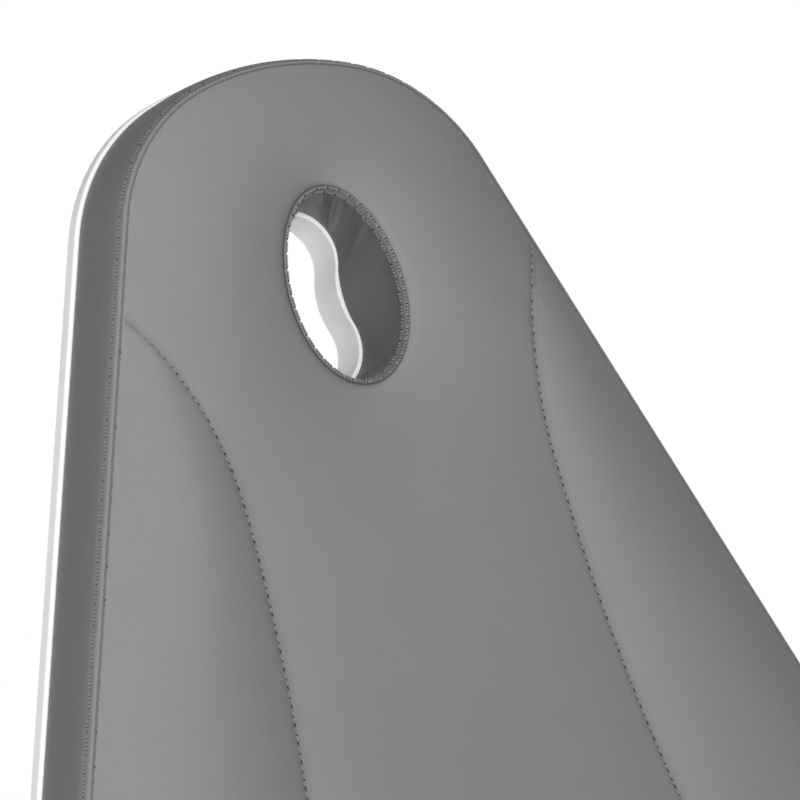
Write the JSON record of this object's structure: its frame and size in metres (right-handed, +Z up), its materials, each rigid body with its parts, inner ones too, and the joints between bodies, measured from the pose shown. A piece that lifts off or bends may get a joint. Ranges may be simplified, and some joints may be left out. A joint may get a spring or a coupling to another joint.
{
  "type": "spa bed",
  "caption": "Electric spa treatment bed: three upholstered sections on a telescopic lift, with a face opening, standing on a storage cabinet with drawers and doors.",
  "frame": {"origin": "on the floor, at the middle of the bed's width and of its length with the backrest raised", "axes": "+Z up, +Y towards the head end, +X to the right of someone facing the head end"},
  "size_m": [0.762, 1.5256, 1.3377],
  "materials": {
    "upholstery": "fine-grain synthetic leather, satin",
    "painted_board": "white lacquer",
    "cabinet_panel": "white satin lacquer",
    "column_profile": "anodised satin",
    "coated_steel": "light grey powder coat",
    "plinth_board": "dark grey laminate",
    "drawer_tray": "pale grey laminate",
    "brushed_pull": "brushed",
    "chrome_rod": "polished",
    "stroke_tube": "grey anodised",
    "black_plastic": "fine texture",
    "rocker_key": "semi-gloss",
    "foot_plastic": "matt",
    "plated_steel": "zinc plated"
  },
  "bodies": {
    "base": {"levelling_feet": "foot_plastic", "plinth": "plinth_board", "cabinet_floor": "cabinet_panel", "cabinet_top": "cabinet_panel", "end_panel_foot": "cabinet_panel", "end_panel_head": "cabinet_panel", "divider": "cabinet_panel", "side_panel_right": "cabinet_panel", "cupboard_back": "cabinet_panel", "cupboard_shelf": "cabinet_panel", "mains_inlet": "black_plastic", "control_box": "black_plastic", "column_outer_foot": "column_profile", "column_outer_head": "column_profile", "lift_drives": "plated_steel", "drawer_runners": "plated_steel", "door_hinge_plates": "plated_steel"},
    "middle_stages": {"column_middle_foot": "column_profile", "column_middle_head": "column_profile"},
    "seat_unit": {"column_inner_foot": "column_profile", "column_inner_head": "column_profile", "seat_frame": "coated_steel", "seat_board": "painted_board", "seat_cushion": "upholstery", "back_hinge_pins": "plated_steel", "leg_hinge_pins": "plated_steel", "anchor_pins": "plated_steel", "switch_housing": "black_plastic"},
    "backrest": {"back_frame": "coated_steel", "back_board": "painted_board", "face_collar": "painted_board", "back_cushion": "upholstery"},
    "leg_section": {"leg_frame": "coated_steel", "leg_board": "painted_board", "leg_cushion": "upholstery"},
    "back_actuator": {"back_actuator_housing": "black_plastic", "back_actuator_motor": "black_plastic", "back_actuator_tube": "stroke_tube"},
    "back_rod": {"back_actuator_rod": "chrome_rod"},
    "leg_actuator": {"leg_actuator_housing": "black_plastic", "leg_actuator_motor": "black_plastic", "leg_actuator_tube": "stroke_tube"},
    "leg_rod": {"leg_actuator_rod": "chrome_rod"},
    "leg_rocker": {"leg_rocker": "rocker_key"},
    "lift_rocker": {"lift_rocker": "rocker_key"},
    "back_rocker": {"back_rocker": "rocker_key"},
    "drawer_1": {"drawer_1_tray": "drawer_tray", "drawer_1_front": "cabinet_panel", "drawer_1_pull": "brushed_pull", "drawer_1_slides": "plated_steel"},
    "door_1": {"door_1_panel": "cabinet_panel", "door_1_pull": "brushed_pull", "door_1_hinges": "plated_steel"},
    "drawer_2": {"drawer_2_tray": "drawer_tray", "drawer_2_front": "cabinet_panel", "drawer_2_pull": "brushed_pull", "drawer_2_slides": "plated_steel"},
    "door_2": {"door_2_panel": "cabinet_panel", "door_2_pull": "brushed_pull", "door_2_hinges": "plated_steel"}
  },
  "joints": [
    {"name": "lift", "type": "slide", "parent": "base", "child": "seat_unit", "axis": [0, 0, 1], "range_m": [0, 0.28]},
    {"name": "lift_middle_stage", "type": "slide", "parent": "base", "child": "middle_stages", "axis": [0, 0, 1], "range_m": [-0.001, 0.141]},
    {"name": "backrest_tilt", "type": "hinge", "parent": "seat_unit", "child": "backrest", "pos_m": [0, 0.33266, 0.622], "axis": [1, 0, 0], "range_deg": [-63.1, 11.9]},
    {"name": "back_actuator_swing", "type": "hinge", "parent": "seat_unit", "child": "back_actuator", "pos_m": [0.13, -0.06534, 0.455], "axis": [1, 0, 0], "range_deg": [-2.49, 0.63]},
    {"name": "back_actuator_stroke", "type": "slide", "parent": "back_actuator", "child": "back_rod", "axis": [0, 0.9934, 0.1145], "range_m": [-0.15801, 0.03142]},
    {"name": "leg_section_tilt", "type": "hinge", "parent": "seat_unit", "child": "leg_section", "pos_m": [0, -0.15934, 0.53], "axis": [1, 0, 0], "range_deg": [0, 45]},
    {"name": "leg_actuator_swing", "type": "hinge", "parent": "seat_unit", "child": "leg_actuator", "pos_m": [-0.13, 0.23466, 0.455], "axis": [1, 0, 0], "range_deg": [-0.2, 4.4]},
    {"name": "leg_actuator_stroke", "type": "slide", "parent": "leg_actuator", "child": "leg_rod", "axis": [0, -0.998, 0.0629], "range_m": [-0.05475, 0.002]},
    {"name": "drawer_1_run", "type": "slide", "parent": "base", "child": "drawer_1", "axis": [-1, 0, 0], "range_m": [0, 0.32]},
    {"name": "drawer_2_run", "type": "slide", "parent": "base", "child": "drawer_2", "axis": [-1, 0, 0], "range_m": [0, 0.32]},
    {"name": "door_1_swing", "type": "hinge", "parent": "base", "child": "door_1", "pos_m": [-0.264, -0.21384, 0.25], "axis": [0, 0, 1], "range_deg": [0, 105]},
    {"name": "door_2_swing", "type": "hinge", "parent": "base", "child": "door_2", "pos_m": [-0.264, 0.29366, 0.25], "axis": [0, 0, -1], "range_deg": [0, 80]},
    {"name": "leg_rocker_tilt", "type": "hinge", "parent": "seat_unit", "child": "leg_rocker", "pos_m": [-0.357, 0.04666, 0.536], "axis": [0, 1, 0], "range_deg": [-6, 6], "stiffness_Nm_per_rad": 0.4},
    {"name": "lift_rocker_tilt", "type": "hinge", "parent": "seat_unit", "child": "lift_rocker", "pos_m": [-0.357, 0.08466, 0.536], "axis": [0, 1, 0], "range_deg": [-6, 6], "stiffness_Nm_per_rad": 0.4},
    {"name": "back_rocker_tilt", "type": "hinge", "parent": "seat_unit", "child": "back_rocker", "pos_m": [-0.357, 0.12266, 0.536], "axis": [0, 1, 0], "range_deg": [-6, 6], "stiffness_Nm_per_rad": 0.4}
  ],
  "couplings": [
    {"joint": "lift_middle_stage", "follows": "lift", "ratio": 0.5},
    {"joint": "back_actuator_swing", "follows": "backrest_tilt", "ratio": 0.036321},
    {"joint": "back_actuator_stroke", "follows": "backrest_tilt", "m_per_rad": 0.14166},
    {"joint": "leg_actuator_swing", "follows": "leg_section_tilt", "ratio": 0.093253},
    {"joint": "leg_actuator_stroke", "follows": "leg_section_tilt", "m_per_rad": -0.067163}
  ]
}
